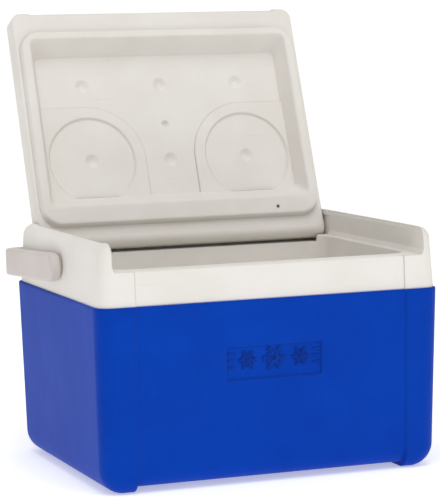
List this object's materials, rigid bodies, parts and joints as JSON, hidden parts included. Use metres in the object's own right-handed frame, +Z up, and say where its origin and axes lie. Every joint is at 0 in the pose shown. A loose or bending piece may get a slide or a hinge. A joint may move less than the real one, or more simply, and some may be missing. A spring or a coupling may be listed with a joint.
{
  "type": "cooler chest",
  "caption": "Small hard-sided cooler chest with a drafted outer shell, one-piece liner, hinged hollow lid and a bail handle that lies back.",
  "frame": {"origin": "middle of the footprint, on the plane that the two bottom runners stand on", "axes": "+X along the front to the chest's right as seen from the front, +Y to the back, +Z up"},
  "size_m": [0.313, 0.2964, 0.381],
  "materials": {
    "shell_blue": "moulded polyethylene, satin",
    "liner_white": "moulded polyethylene, satin",
    "lid_white": "blow-moulded polyethylene, satin",
    "handle_white": "moulded polyethylene, satin",
    "pin_white": "moulded nylon",
    "clip_steel": "push-on clip",
    "foam": "rigid foam"
  },
  "bodies": {
    "chest": {"outer_shell": "shell_blue", "foam_core": "foam", "liner": "liner_white", "lid_hinge_pin_left": "pin_white", "lid_hinge_pin_right": "pin_white"},
    "lid": {"lid": "lid_white"},
    "handle": {"handle": "handle_white", "handle_pivot_left": "pin_white", "handle_pivot_right": "pin_white", "handle_clip_left": "clip_steel", "handle_clip_right": "clip_steel"}
  },
  "joints": [
    {"name": "lid_hinge", "type": "hinge", "parent": "chest", "child": "lid", "pos_m": [0, 0.095, 0.1865], "axis": [1, 0, 0], "range_deg": [0, 111]},
    {"name": "handle_swing", "type": "hinge", "parent": "chest", "child": "handle", "pos_m": [0, -0.006, 0.173], "axis": [1, 0, 0], "range_deg": [0, 10]}
  ]
}
